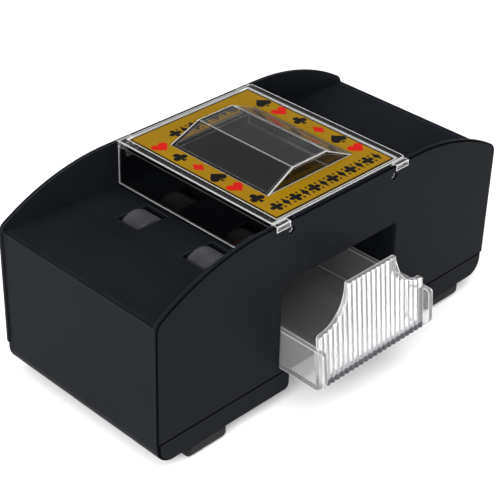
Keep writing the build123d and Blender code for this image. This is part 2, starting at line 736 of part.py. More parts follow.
with BuildPart() as clear_cover:
    with BuildSketch(Plane.XY.offset(cover_bottom)):
        Rectangle(2 * cover_half_length, 2 * cover_half_width)
    extrude(amount=cover_top - cover_bottom)
    with BuildSketch(Plane.XY.offset(cover_top)):
        Rectangle(2 * cover_half_length, 2 * cover_half_width)
        Rectangle(2 * rim_inner_length, 2 * rim_inner_width, mode=Mode.SUBTRACT)
    extrude(amount=cover_rim_top - cover_top)
    fillet(clear_cover.edges().filter_by(Axis.Z).filter_by(
        lambda e: abs(e.center().X) > cover_half_length - 0.1), 1.2)
    with BuildSketch(Plane.XY.offset(ear_bottom)):
        with GridLocations(2 * notch_x, cover_half_width + half_width, 2, 2):
            Rectangle(ear_width, half_width - cover_half_width)
        with GridLocations(2 * notch_x, 2 * cover_half_width - 2, 2, 2):
            Rectangle(ear_width, 2)
    extrude(amount=ear_top - ear_bottom)
    with BuildSketch(Plane.XY.offset(cover_wall_bottom)):
        with GridLocations(2 * cover_half_length - cover_wall, 0, 2, 1):
            Rectangle(cover_wall, 2 * cover_half_width)
    extrude(amount=cover_bottom - cover_wall_bottom)
    with BuildSketch(Plane.XY.offset(leg_bottom)):
        with GridLocations(2 * snap_x, 2 * cover_half_width - leg_thickness, 2, 2):
            Rectangle(leg_width, leg_thickness)
    extrude(amount=cover_bottom - leg_bottom)
    for side in (-1, 1):
        with BuildSketch(across(side * snap_pin_end)):
            with Locations((-snap_x, snap_z), (snap_x, snap_z)):
                Circle(snap_pin_radius)
        extrude(amount=side * (snap_pin_end - cover_half_width + leg_thickness))
    # The raised window: a hollow block with two sloping faces and a flat ridge.
    with BuildSketch(Plane.XY.offset(cover_top)):
        Rectangle(2 * window_half_length, 2 * window_half_width)
    with BuildSketch(Plane.XY.offset(window_top)):
        Rectangle(2 * ridge_half_length, 2 * ridge_half_width)
    loft()
    with BuildSketch(Plane.XY.offset(cover_bottom)):
        Rectangle(2 * (window_half_length - window_wall), 2 * (window_half_width - window_wall))
    extrude(amount=cover_top - cover_bottom, mode=Mode.SUBTRACT)
    with BuildSketch(Plane.XY.offset(cover_top)):
        Rectangle(2 * (window_half_length - window_wall), 2 * (window_half_width - window_wall))
    with BuildSketch(Plane.XY.offset(window_top - window_wall)):
        Rectangle(2 * (ridge_half_length - 0.5), 2 * (ridge_half_width - window_wall))
    loft(mode=Mode.SUBTRACT)
write(clear_cover.part, "clear_cover")

with BuildPart() as label_plate:
    with BuildSketch(Plane.XY.offset(cover_top)):
        Rectangle(2 * label_half_length, 2 * label_half_width)
        Rectangle(2 * window_half_length + 0.8, 2 * window_half_width + 0.8, mode=Mode.SUBTRACT)
    extrude(amount=label_thickness)
write(label_plate.part, "label_plate")

# ---- battery box for four AA cells lying along X, with its contacts ----

cell_radius = 7.25
cell_ys = [(index - 1.5) * 2 * cell_radius for index in range(4)]
cell_z = 15.25
contact_thickness, contact_height = 0.4, 11.0
lead_z = 20.0
lead_radius = 0.6

with BuildPart() as battery_box:
    with BuildSketch(Plane.XY.offset(floor_top)):
        with Locations((cells_x, 0)):
            Rectangle(cells_length + 2 * box_wall, 2 * (cells_half + box_wall))
    extrude(amount=box_top - floor_top)
    with BuildSketch(Plane.XY.offset(floor_top)):
        with Locations((cells_x, 0)):
            Rectangle(cells_length, 2 * cells_half)
    extrude(amount=box_top - floor_top - box_wall, mode=Mode.SUBTRACT)
    with BuildSketch(Plane.YZ.offset(cells_x0)):
        with Locations((cell_ys[0], lead_z), (cell_ys[3], lead_z)):
            Circle(lead_radius + running)
    extrude(amount=-box_wall, mode=Mode.SUBTRACT)
write(battery_box.part, "battery_box")

single, double = 2 * cell_radius - 2.5, 4 * cell_radius - 2.5
with BuildPart() as battery_contacts:
    left_plates = ((cell_ys[0], single), (0, double), (cell_ys[3], single))
    right_plates = ((-2 * cell_radius, double), (2 * cell_radius, double))
    for plate_x, plates in ((cells_x0, left_plates), (cells_x1 - contact_thickness, right_plates)):
        for plate_y, width in plates:
            with BuildSketch(Plane.YZ.offset(plate_x)):
                with Locations((plate_y, cell_z)):
                    Rectangle(width, contact_height)
            extrude(amount=contact_thickness)
write(battery_contacts.part, "battery_contacts")


def coil(start, direction, radius, wire, turns, length):
    """A round-wire compression spring, whose wire just clears both of its end planes."""
    rise = length - 2 * wire
    with BuildPart() as spring:
        with BuildLine():
            path = Helix(pitch=rise / turns, height=rise, radius=radius,
                         center=start + direction * wire, direction=direction)
        with BuildSketch(Plane(origin=path @ 0, z_dir=path % 0)):
            Circle(wire * 0.96)
        sweep(path=path, is_frenet=True)
    return spring.part


cell_spring_length, cell_spring_radius, cell_wire = 4.2, 3.6, 0.4
with BuildPart() as battery_springs:
    for cell, plate_x, facing in ((0, cells_x1 - contact_thickness, -1),
                                  (1, cells_x0 + contact_thickness, 1),
                                  (2, cells_x1 - contact_thickness, -1),
                                  (3, cells_x0 + contact_thickness, 1)):
        add(coil(Vector(plate_x, cell_ys[cell], cell_z), Vector(facing, 0, 0),
                 cell_spring_radius, cell_wire, 3, cell_spring_length))
write(battery_springs.part, "battery_springs")

door_screw_head = 2.3
with BuildPart() as battery_door:
    with BuildSketch(Plane.XY.offset(foot_height)):
        with Locations((cells_x, 0)):
            edge = door_lip - door_gap
            Rectangle(cells_length + 2 * edge, 2 * (cells_half + edge))
        with Locations((door_screw_x, (cells_half + door_tongue_end - door_gap) / 2)):
            Rectangle(2 * (door_tongue_half - door_gap), door_tongue_end - door_gap - cells_half)
        with Locations((door_screw_x, door_screw_y)):
            Circle(door_screw_radius, mode=Mode.SUBTRACT)
    extrude(amount=door_plate)
    with BuildSketch(Plane.XY.offset(foot_height + door_plate)):
        with Locations((cells_x, 0)):
            Rectangle(cells_length - 2 * door_gap, 2 * (cells_half - door_gap))
    extrude(amount=shell_floor - door_plate)
    # Grip grooves across the door's outer face.
    with BuildSketch(Plane.XY.offset(foot_height)):
        with Locations((cells_x, -cells_half + 10)):
            with GridLocations(0, 2.4, 1, 4):
                Rectangle(18, 1)
    extrude(amount=0.6, mode=Mode.SUBTRACT)
write(battery_door.part, "battery_door")

with BuildPart() as door_screw:
    with BuildSketch(Plane.XY.offset(foot_height)):
        with Locations((door_screw_x, door_screw_y)):
            Circle(door_screw_radius)
    extrude(amount=door_boss_top - foot_height - 2)
    with BuildSketch(Plane.XY.offset(foot_height)):
        with Locations((door_screw_x, door_screw_y)):
            Circle(door_screw_head)
    extrude(amount=-1.2)
    with BuildSketch(Plane.XY.offset(foot_height - 1.2)):
        with Locations((door_screw_x, door_screw_y)):
            Rectangle(2.6, 0.6)
            Rectangle(0.6, 2.6)
    extrude(amount=0.7, mode=Mode.SUBTRACT)
write(door_screw.part, "door_screw")

# ---- start button, its spring and the switch it presses ----

button_end, button_flange_radius, button_flange_end = 51.9, 8.0, panel_inner - play
button_back = 44.2
button_cup_radius, button_cup_end = 4.7, 50.2
button_stem_radius, button_stem_back = 2.0, 39.9
switch_front, switch_size = 41.5, 10.0
switch_bore, switch_bore_back = button_stem_radius + 0.15, 37.0
bracket_x0, bracket_x1, bracket_bottom = 81.5, 98.0, 41.0
tab_offset, tab_y, tab_length = 2.5, 38.5, 3.0

with BuildPart() as start_button:
    with BuildSketch(across(button_end)):
        with Locations((button_x, button_z)):
            Circle(button_radius)
    extrude(amount=button_end - button_back)
    fillet(start_button.faces().sort_by(Axis.Y)[-1].edges(), 1.2)
    with BuildSketch(across(button_flange_end)):
        with Locations((button_x, button_z)):
            Circle(button_flange_radius)
    extrude(amount=button_flange_end - button_back)
    with BuildSketch(across(button_cup_end)):
        with Locations((button_x, button_z)):
            Circle(button_cup_radius)
    extrude(amount=button_cup_end - button_back, mode=Mode.SUBTRACT)
    with BuildSketch(across(button_cup_end)):
        with Locations((button_x, button_z)):
            Circle(button_stem_radius)
    extrude(amount=button_cup_end - button_stem_back)
write(start_button.part, "start_button")

button_spring = coil(Vector(button_x, switch_front, button_z), Vector(0, 1, 0), 3.3, 0.35, 5,
                     button_cup_end - switch_front)
write(button_spring, "button_spring")

with BuildPart() as push_switch:
    with BuildSketch(across(switch_front)):
        with Locations((button_x, button_z)):
            RectangleRounded(switch_size, switch_size, 0.8)
    extrude(amount=switch_front - plate_out)
    with BuildSketch(across(switch_front)):
        with Locations((button_x, button_z)):
            Circle(switch_bore)
    extrude(amount=switch_front - switch_bore_back, mode=Mode.SUBTRACT)
    with BuildSketch(Plane.XY.offset(button_z - switch_size / 2)):
        with Locations((button_x - tab_offset, tab_y), (button_x + tab_offset, tab_y)):
            Rectangle(2.0, 0.5)
    extrude(amount=-tab_length)
write(push_switch.part, "push_switch")

with BuildPart() as switch_bracket:
    with BuildSketch(across(plate_out)):
        lower_corners = [(bracket_x1, bracket_bottom), (bracket_x0, bracket_bottom)]
        add(plate_outline(bracket_x0, bracket_x1, lower_corners))
        with Locations(*[(x, under_z(x) - plate_screw_drop) for x in bracket_screw_xs]):
            Circle(plate_screw_radius, mode=Mode.SUBTRACT)
    extrude(amount=plate_thickness)
write(switch_bracket.part, "switch_bracket")

# ---- wires ----


def wire(label, points, radius=lead_radius):
    """A lead along straight runs joined by arcs as large as their runs allow."""
    corners = [Vector(*point) for point in points]
    radii = []
    for before, here, after in zip(corners, corners[1:], corners[2:]):
        turn = radians((here - before).get_angle(after - here))
        run = min((here - before).length, (after - here).length)
        radii.append(0.45 * run / tan(turn / 2))
    with BuildPart() as lead:
        with BuildLine():
            path = FilletPolyline(*corners, radius=radii)
        with BuildSketch(Plane(origin=path @ 0, z_dir=path % 0)):
            Circle(radius)
        sweep(path=path)
    print(label, "radii", [round(r, 1) for r in radii], "volume", round(lead.part.volume, 1),
          "expected", round(pi * radius**2 * path.length, 1))
    write(lead.part, label)


terminal_y = cap_boss_back
tab_z = button_z - switch_size / 2 - tab_length
wire("battery_lead", [
    (cells_x0, cell_ys[0], lead_z), (-98, cell_ys[0], lead_z), (-98.2, -17, 25.5), (-91, -6, 28),
    (-83, 10, 28.5),
    (-76, 27, 28), (-68, 40, 20), (-55, 43.2, 12), (-25, 43.6, 10.5), (5, 42.6, 11), (35, 43.6, 10.5),
    (60, 43, 12), (76, 42, 18), (84.5, 39, 26), (button_x - tab_offset, tab_y, 33),
    (button_x - tab_offset, tab_y, tab_z)])
wire("switch_lead", [
    (button_x + tab_offset, tab_y, tab_z), (button_x + tab_offset, tab_y, 33), (91, 33, 26),
    (87, 22, 22),
    (79, 9, 23), (71, -2, 29), (65.5, -5, 38), (motor_x + terminal_offset, 0, motor_z),
    (motor_x + terminal_offset, terminal_y, motor_z)])
wire("return_lead", [
    (cells_x0, cell_ys[3], lead_z), (-98, cell_ys[3], lead_z), (-98.2, 17, 25.5), (-92, 7, 29),
    (-82, -3, 31),
    (-72, -8, 35), (-65.5, -5, 40), (-motor_x - terminal_offset, 0, motor_z),
    (-motor_x - terminal_offset, terminal_y, motor_z)])
wire("motor_link", [
    (-motor_x + terminal_offset, terminal_y, motor_z), (-motor_x + terminal_offset, 0, motor_z),
    (-52, -5, 34), (-47, 4, 28.5), (-46, 22, 28), (-46, 36, 24), (-40, 42.5, 16), (-22, 43.4, 13.5),
    (2, 42.8, 13.8), (22, 43.5, 13.5), (40, 42.5, 16), (46, 36, 24), (46, 22, 28), (47, 4, 28.5),
    (52, -5, 34), (motor_x - terminal_offset, 0, motor_z),
    (motor_x - terminal_offset, terminal_y, motor_z)], radius=0.8)
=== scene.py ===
import json
import math

import bmesh
import bpy
from mathutils import Matrix, Vector


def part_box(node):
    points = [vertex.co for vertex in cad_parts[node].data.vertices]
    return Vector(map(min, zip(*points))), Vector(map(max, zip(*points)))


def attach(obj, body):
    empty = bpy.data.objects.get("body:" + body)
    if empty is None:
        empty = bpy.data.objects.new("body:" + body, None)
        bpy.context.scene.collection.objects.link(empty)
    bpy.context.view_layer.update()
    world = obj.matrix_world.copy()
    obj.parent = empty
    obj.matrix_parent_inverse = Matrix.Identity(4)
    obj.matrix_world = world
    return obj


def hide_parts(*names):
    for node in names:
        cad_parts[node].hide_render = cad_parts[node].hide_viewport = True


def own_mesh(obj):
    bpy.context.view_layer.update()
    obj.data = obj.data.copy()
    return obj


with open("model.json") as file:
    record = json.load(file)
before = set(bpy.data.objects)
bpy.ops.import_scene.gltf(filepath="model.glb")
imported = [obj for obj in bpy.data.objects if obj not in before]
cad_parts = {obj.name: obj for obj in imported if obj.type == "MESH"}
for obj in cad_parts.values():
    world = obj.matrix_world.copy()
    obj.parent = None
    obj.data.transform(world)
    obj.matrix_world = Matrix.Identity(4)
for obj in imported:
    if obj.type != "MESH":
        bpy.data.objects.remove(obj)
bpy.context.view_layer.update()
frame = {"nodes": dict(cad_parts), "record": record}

nodes = frame["nodes"]
slot_of = {row["node"]: row["material_slot"] for row in frame["record"]["subparts"]}
mm = 0.001


# ---------------------------------------------------------------- camera, world, lights

def place_camera(place, azimuth, elevation, roll, lens):
    az, el, turn = (math.radians(v) for v in (azimuth, elevation, roll))
    back = Vector((math.sin(az) * math.cos(el), -math.cos(az) * math.cos(el), math.sin(el)))
    side = (-back).cross(Vector((0, 0, 1))).normalized()
    above = side.cross(-back)
    right = side * math.cos(turn) + above * math.sin(turn)
    up = above * math.cos(turn) - side * math.sin(turn)
    data = bpy.data.cameras.new("camera")
    data.lens, data.sensor_width = lens, 36.0
    data.clip_start, data.clip_end = 0.01, 20.0
    camera = bpy.data.objects.new("camera", data)
    camera.matrix_world = Matrix((
        (right.x, up.x, back.x, place[0]), (right.y, up.y, back.y, place[1]),
        (right.z, up.z, back.z, place[2]), (0, 0, 0, 1)))
    bpy.context.scene.collection.objects.link(camera)
    bpy.context.scene.camera = camera


def area_light(name, place, target, size, power, mirrored=True):
    data = bpy.data.lights.new(name, "AREA")
    data.shape, data.size, data.size_y = "RECTANGLE", size[0], size[1]
    data.energy = power
    light = bpy.data.objects.new(name, data)
    light.location = place
    light.visible_glossy = mirrored
    light.visible_transmission = False
    light.rotation_euler = (Vector(target) - Vector(place)).to_track_quat("-Z", "Y").to_euler()
    bpy.context.scene.collection.objects.link(light)


place_camera(place=(-0.40015, -0.38278, 0.39759), azimuth=-45.92, elevation=32.85, roll=1.63, lens=107.06)

scene = bpy.context.scene
scene.view_settings.view_transform = "Standard"
scene.view_settings.look = "None"
light_side = (-0.72, -0.50, 0.48)    # where most of the light comes from
turned_away, turned_towards = -0.8, 0.9
weakest_wall, mirrored_wall = 0.45, 0.25     # the studio walls look darker in reflections
world = bpy.data.worlds.new("studio")
world.use_nodes = True
sky = world.node_tree
path = sky.nodes.new("ShaderNodeLightPath")
heading = sky.nodes.new("ShaderNodeVectorMath")
heading.operation = "DOT_PRODUCT"
heading.inputs[1].default_value = light_side
sky.links.new(sky.nodes.new("ShaderNodeTexCoord").outputs["Generated"], heading.inputs[0])
level = sky.nodes.new("ShaderNodeMapRange")
level.inputs["From Min"].default_value = turned_away
level.inputs["From Max"].default_value = turned_towards
level.inputs["To Min"].default_value = weakest_wall
sky.links.new(heading.outputs["Value"], level.inputs["Value"])
dim = sky.nodes.new("ShaderNodeMapRange")
dim.inputs["To Max"].default_value = mirrored_wall
sky.links.new(path.outputs["Is Glossy Ray"], dim.inputs["Value"])
sky.links.new(level.outputs["Result"], dim.inputs["To Min"])
whole = sky.nodes.new("ShaderNodeMapRange")      # plain white to the camera
whole.inputs["To Max"].default_value = 1.0
sky.links.new(path.outputs["Is Camera Ray"], whole.inputs["Value"])
sky.links.new(dim.outputs["Result"], whole.inputs["To Min"])
sky.links.new(whole.outputs["Result"], sky.nodes["Background"].inputs["Strength"])
sky.nodes["Background"].inputs["Color"].default_value = (1.0, 1.0, 1.0, 1.0)
scene.world = world

area_light("softbox_top", (-0.10, -0.20, 0.95), (0, 0, 0.03), (1.3, 1.1), 8.5, mirrored=False)
area_light("softbox_left", (-0.52, -0.24, 0.34), (-0.05, 0, 0.04), (0.4, 0.3), 2.8, mirrored=False)
area_light("softbox_front", (-0.45, -1.0, 0.62), (0, 0, 0.04), (0.6, 0.3), 1.4)


# ---------------------------------------------------------------- node helpers

class Build:
    """A material with a Principled shader, and short calls to wire nodes to it."""

    def __init__(self, name):
        self.material = bpy.data.materials.new(name)
        self.material.use_nodes = True
        self.tree = self.material.node_tree
        self.tree.nodes.clear()
        self.out = self.add("ShaderNodeOutputMaterial")
        self.shader = self.add("ShaderNodeBsdfPrincipled")
        self.link(self.shader.outputs[0], self.out.inputs[0])
        coordinates = self.add("ShaderNodeTexCoord")
        self.place, self.turned = coordinates.outputs["Object"], coordinates.outputs["Normal"]

    def add(self, kind, **settings):
        node = self.tree.nodes.new(kind)
        for key, value in settings.items():
            setattr(node, key, value)
        return node

    def link(self, a, b):
        self.tree.links.new(a, b)

    def set(self, **values):
        for key, value in values.items():
            self.shader.inputs[key.replace("_", " ")].default_value = value

    def noise(self, scale, detail=2.0, roughness=0.5, stretch=None):
        node = self.add("ShaderNodeTexNoise")
        node.inputs["Scale"].default_value = scale
        node.inputs["Detail"].default_value = detail
        node.inputs["Roughness"].default_value = roughness
        source = self.place
        if stretch:
            mapping = self.add("ShaderNodeMapping")
            mapping.inputs["Scale"].default_value = stretch
            self.link(source, mapping.inputs["Vector"])
            source = mapping.outputs[0]
        self.link(source, node.inputs["Vector"])
        return node.outputs["Fac"]

    def cells(self, scale):
        node = self.add("ShaderNodeTexVoronoi", feature="F1")
        node.inputs["Scale"].default_value = scale
        self.link(self.place, node.inputs["Vector"])
        return node.outputs["Distance"]

    def remap(self, value, low, high, to_low, to_high):
        node = self.add("ShaderNodeMapRange")
        for key, number in (("From Min", low), ("From Max", high), ("To Min", to_low), ("To Max", to_high)):
            node.inputs[key].default_value = number
        self.link(value, node.inputs["Value"])
        return node.outputs["Result"]

    def math(self, operation, a, b):
        node = self.add("ShaderNodeMath", operation=operation)
        for socket, value in ((node.inputs[0], a), (node.inputs[1], b)):
            if isinstance(value, (int, float)):
                socket.default_value = value
            else:
                self.link(value, socket)
        return node.outputs[0]

    def mix(self, factor, a, b):
        node = self.add("ShaderNodeMix", data_type="RGBA")
        self.link(factor, node.inputs["Factor"])
        for socket, value in ((node.inputs["A"], a), (node.inputs["B"], b)):
            if isinstance(value, tuple):
                socket.default_value = value
            else:
                self.link(value, socket)
        return node.outputs["Result"]

    def rounded(self, radius, samples=6, softest=0.995, sharpest=0.80):
        """The surface normal with small rounded edges, and a mask that is 1 on those edges."""
        bevel = self.add("ShaderNodeBevel", samples=samples)
        bevel.inputs["Radius"].default_value = radius
        normal = self.add("ShaderNodeNewGeometry").outputs["Normal"]
        dot = self.add("ShaderNodeVectorMath", operation="DOT_PRODUCT")
        self.link(bevel.outputs[0], dot.inputs[0])
        self.link(normal, dot.inputs[1])
        return bevel.outputs[0], self.remap(dot.outputs["Value"], softest, sharpest, 0.0, 1.0)

    def part(self, vector, axis):
        node = self.add("ShaderNodeSeparateXYZ")
        self.link(vector, node.inputs[0])
        return node.outputs[axis]

    def side_rounding(self):
        """1 on the roundings that run round the side faces, 0 on the flat faces; painted dark there as a dark
        reflection.
        """
        y = self.part(self.turned, "Y")
        y_squared = self.math("MULTIPLY", y, y)
        mixed = self.math("MULTIPLY", y_squared, self.math("SUBTRACT", 1.0, y_squared))
        return self.remap(mixed, 0.04, 0.18, 0.0, 1.0)

    def seam(self, height, half_width):
        """1 along the joint line between the side panels and the base, on the outer skin only; painted dark
        there as shade in the groove.
        """
        line_core, line_edge = 0.35 * mm, 0.65 * mm
        skin_inside, skin_outside = half_width - 1.1 * mm, half_width - 0.9 * mm
        off = self.math("ABSOLUTE", self.math("SUBTRACT", self.part(self.place, "Z"), height), 0.0)
        outside = self.math("ABSOLUTE", self.part(self.place, "Y"), 0.0)
        line = self.remap(off, line_core, line_edge, 1.0, 0.0)
        skin = self.remap(outside, skin_inside, skin_outside, 0.0, 1.0)
        return self.math("MULTIPLY", line, skin)

    def ring(self, centre, radius, half_line):
        """1 on a printed ring on the face that looks towards +Y."""
        x = self.math("SUBTRACT", self.part(self.place, "X"), centre.x)
        z = self.math("SUBTRACT", self.part(self.place, "Z"), centre.z)
        squares = self.math("ADD", self.math("MULTIPLY", x, x), self.math("MULTIPLY", z, z))
        off = self.math("ABSOLUTE", self.math("SUBTRACT", self.math("POWER", squares, 0.5), radius), 0.0)
        line = self.remap(off, half_line, half_line * 1.3, 1.0, 0.0)
        return self.math("MULTIPLY", line, self.remap(self.part(self.turned, "Y"), 0.95, 0.99, 0.0, 1.0))

    def foot(self, top, front, half_width):
        """1 at the foot of a fluted front wall, below top, no further back than front; a dark reflection is
        painted there.
        """
        fade_up, fade_back, fade_aside = 0.9 * mm, 0.4 * mm, 0.3 * mm
        low = self.remap(self.part(self.place, "Z"), top - fade_up, top, 1.0, 0.0)
        near = self.remap(self.part(self.place, "Y"), front, front + fade_back, 1.0, 0.0)
        aside = self.math("ABSOLUTE", self.part(self.place, "X"), 0.0)
        inside = self.remap(aside, half_width - fade_aside, half_width, 1.0, 0.0)
        return self.math("MULTIPLY", self.math("MULTIPLY", low, near), inside)

    def bump(self, height, distance, strength, normal=None):
        node = self.add("ShaderNodeBump")
        node.inputs["Distance"].default_value = distance
        node.inputs["Strength"].default_value = strength
        self.link(height, node.inputs["Height"])
        if normal:
            self.link(normal, node.inputs["Normal"])
        return node.outputs[0]

    def finish(self, color=None, roughness=None, normal=None):
        for value, key in ((color, "Base Color"), (roughness, "Roughness"), (normal, "Normal")):
            if value is not None:
                self.link(value, self.shader.inputs[key])
        return self.material


def rgb(r, g, b):
    return (r, g, b, 1.0)


def scaled(color, factor):
    return tuple(min(1.0, c * factor) for c in color[:3]) + (1.0,)


# ---------------------------------------------------------------- materials

panel_low, panel_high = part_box("back_side_panel")


def moulded(name, color, low, high, specular, grain, depth, round_edge, edge_highlight, outer=False, ring=None):
    """Injection-moulded plastic: spark texture, slow gloss changes, a painted highlight on upward-facing
    edges, a little dust.

    The roughness runs from low to high, grain and depth (mm) are those of the spark texture, and
    the edge highlight number is how much paler the painted highlight on upward-facing edges is."""
    shade_tone, shade_gloss, dust_tone = 0.2, 0.12, 3.0
    m = Build(name)
    m.set(IOR=1.52, Specular_IOR_Level=specular)
    normal, edge = m.rounded(round_edge * mm)
    # How far each rounded edge faces up: the painted highlight below goes only on upward-facing edges.
    upward = m.remap(m.part(normal, "Z"), 0.05, 0.5, 0.0, 1.0)
    cloud = m.noise(38.0, 3.0)
    texture = m.noise(grain, 3.0, 0.65)
    tone = m.mix(m.remap(cloud, 0.3, 0.7, 0.0, 1.0), scaled(color, 0.86), scaled(color, 1.16))
    dust = m.remap(m.noise(1100.0, 1.0, 0.4), 0.76, 0.82, 0.0, 0.25)
    tone = m.mix(dust, tone, scaled(color, dust_tone))
    # Painted highlight: edges whose rounded normal faces up are painted paler, as if lit from above.
    tone = m.mix(m.math("MULTIPLY", edge, upward), tone, scaled(color, edge_highlight))
    # Painted shade and dark reflection: the side roundings are painted dark with dulled gloss, and a dark
    # line is painted along the groove where the side panels meet the base.
    if outer:
        shade = m.math("MAXIMUM", m.side_rounding(), m.seam(panel_low.z, panel_high.y))
        tone = m.mix(shade, tone, scaled(color, shade_tone))
        dulled = m.remap(shade, 0.0, 1.0, specular, specular * shade_gloss)
        m.link(dulled, m.shader.inputs["Specular IOR Level"])
    if ring:
        tone = m.mix(m.ring(*ring), tone, rgb(0.62, 0.62, 0.60))
    rough = m.math("ADD", m.remap(cloud, 0.3, 0.7, low, high), m.remap(texture, 0.3, 0.7, -0.03, 0.03))
    rough = m.math("SUBTRACT", rough, m.math("MULTIPLY", edge, 0.12))
    swell = m.bump(m.noise(16.0, 1.0), 0.00025, 0.10, normal)
    return m.finish(tone, rough, m.bump(texture, depth * mm, 0.5, swell))


def clear(name, tint, frost, ripple, body, edge_body, round_edge, foot=None):
    """Clear polystyrene: polished faces with slight flow ripple, haze, and pale edges as a painted highlight.

    body and edge_body are how much light passes through the faces and through the edges; less on the edges
    shows the pale base colour there as a painted highlight."""
    m = Build(name)
    m.set(Base_Color=rgb(*tint), IOR=1.56)
    if foot:
        # Painted dark reflection: the foot of the tray's fluted front wall gets a dark blue base colour.
        m.link(m.mix(m.foot(*foot), rgb(*tint), rgb(0.06, 0.07, 0.11)), m.shader.inputs["Base Color"])
    edge = m.rounded(round_edge * mm, 12, 0.9992, 0.982)[1]
    # Painted highlight: the edges let less light through, so the pale base colour shows on them.
    m.link(m.remap(edge, 0.10, 0.9, body, edge_body), m.shader.inputs["Transmission Weight"])
    haze = m.noise(120.0, 4.0, 0.6)
    rough = m.math("ADD", m.remap(haze, 0.35, 0.75, frost, frost + 0.05), m.math("MULTIPLY", edge, 0.10))
    flow = m.bump(m.noise(26.0, 2.0), 0.0004, ripple)
    return m.finish(None, rough, flow)


def metal(name, color, low, high, stretch, depth):
    """Metal with lay marks running one way, small stains and bright edges."""
    m = Build(name)
    m.set(Metallic=1.0)
    normal, edge = m.rounded(0.15 * mm, 4)
    lay = m.noise(900.0, 3.0, 0.6, stretch)
    stain = m.noise(140.0, 4.0, 0.6)
    tone = m.mix(m.remap(stain, 0.35, 0.7, 0.0, 1.0), color, scaled(color, 0.72))
    tone = m.mix(edge, tone, scaled(color, 1.25))
    rough = m.math("ADD", m.remap(stain, 0.3, 0.7, low, high), m.remap(lay, 0.3, 0.7, -0.06, 0.06))
    return m.finish(tone, rough, m.bump(lay, depth * mm, 0.6, normal))


def rubber(name, color, grain, depth):
    """Soft rubber: matt, with a fine pitted skin, bloom and scuffed edges."""
    m = Build(name)
    m.set(IOR=1.50, Specular_IOR_Level=0.15, Sheen_Weight=0.05, Sheen_Roughness=0.6)
    normal, edge = m.rounded(0.3 * mm, 4)
    pits = m.cells(grain)
    bloom = m.noise(90.0, 4.0, 0.6)
    tone = m.mix(m.remap(bloom, 0.4, 0.75, 0.0, 1.0), scaled(color, 0.85), scaled(color, 1.5))
    tone = m.mix(edge, tone, scaled(color, 1.9))
    rough = m.remap(bloom, 0.3, 0.7, 0.72, 0.9)
    return m.finish(tone, rough, m.bump(pits, depth * mm, 0.6, normal))


def printed(name, color, gloss):
    """Ink on a glossy plastic sheet: fine screen mottle under a lacquer coat."""
    m = Build(name)
    m.set(IOR=1.5, Specular_IOR_Level=0.12)
    mottle = m.noise(1500.0, 2.0, 0.7)
    wash = m.noise(45.0, 3.0)
    tone = m.mix(m.remap(mottle, 0.3, 0.7, 0.0, 1.0), scaled(color, 0.93), scaled(color, 1.06))
    tone = m.mix(m.remap(wash, 0.35, 0.65, 0.0, 0.5), tone, scaled(color, 0.86))
    rough = m.remap(wash, 0.3, 0.7, gloss, gloss + 0.1)
    return m.finish(tone, rough, m.bump(m.noise(60.0, 2.0), 0.0001, 0.25))


def insulation(name, color):
    """Soft PVC over stranded wire, with the faint lay of the strands."""
    m = Build(name)
    m.set(IOR=1.53, Specular_IOR_Level=0.5)
    lay = m.noise(700.0, 2.0, 0.5, (1.0, 0.3, 1.0))
    smear = m.noise(160.0, 3.0)
    tone = m.mix(m.remap(smear, 0.3, 0.7, 0.0, 1.0), scaled(color, 0.8), scaled(color, 1.15))
    return m.finish(tone, m.remap(smear, 0.3, 0.7, 0.3, 0.45), m.bump(lay, 0.03 * mm, 0.5))


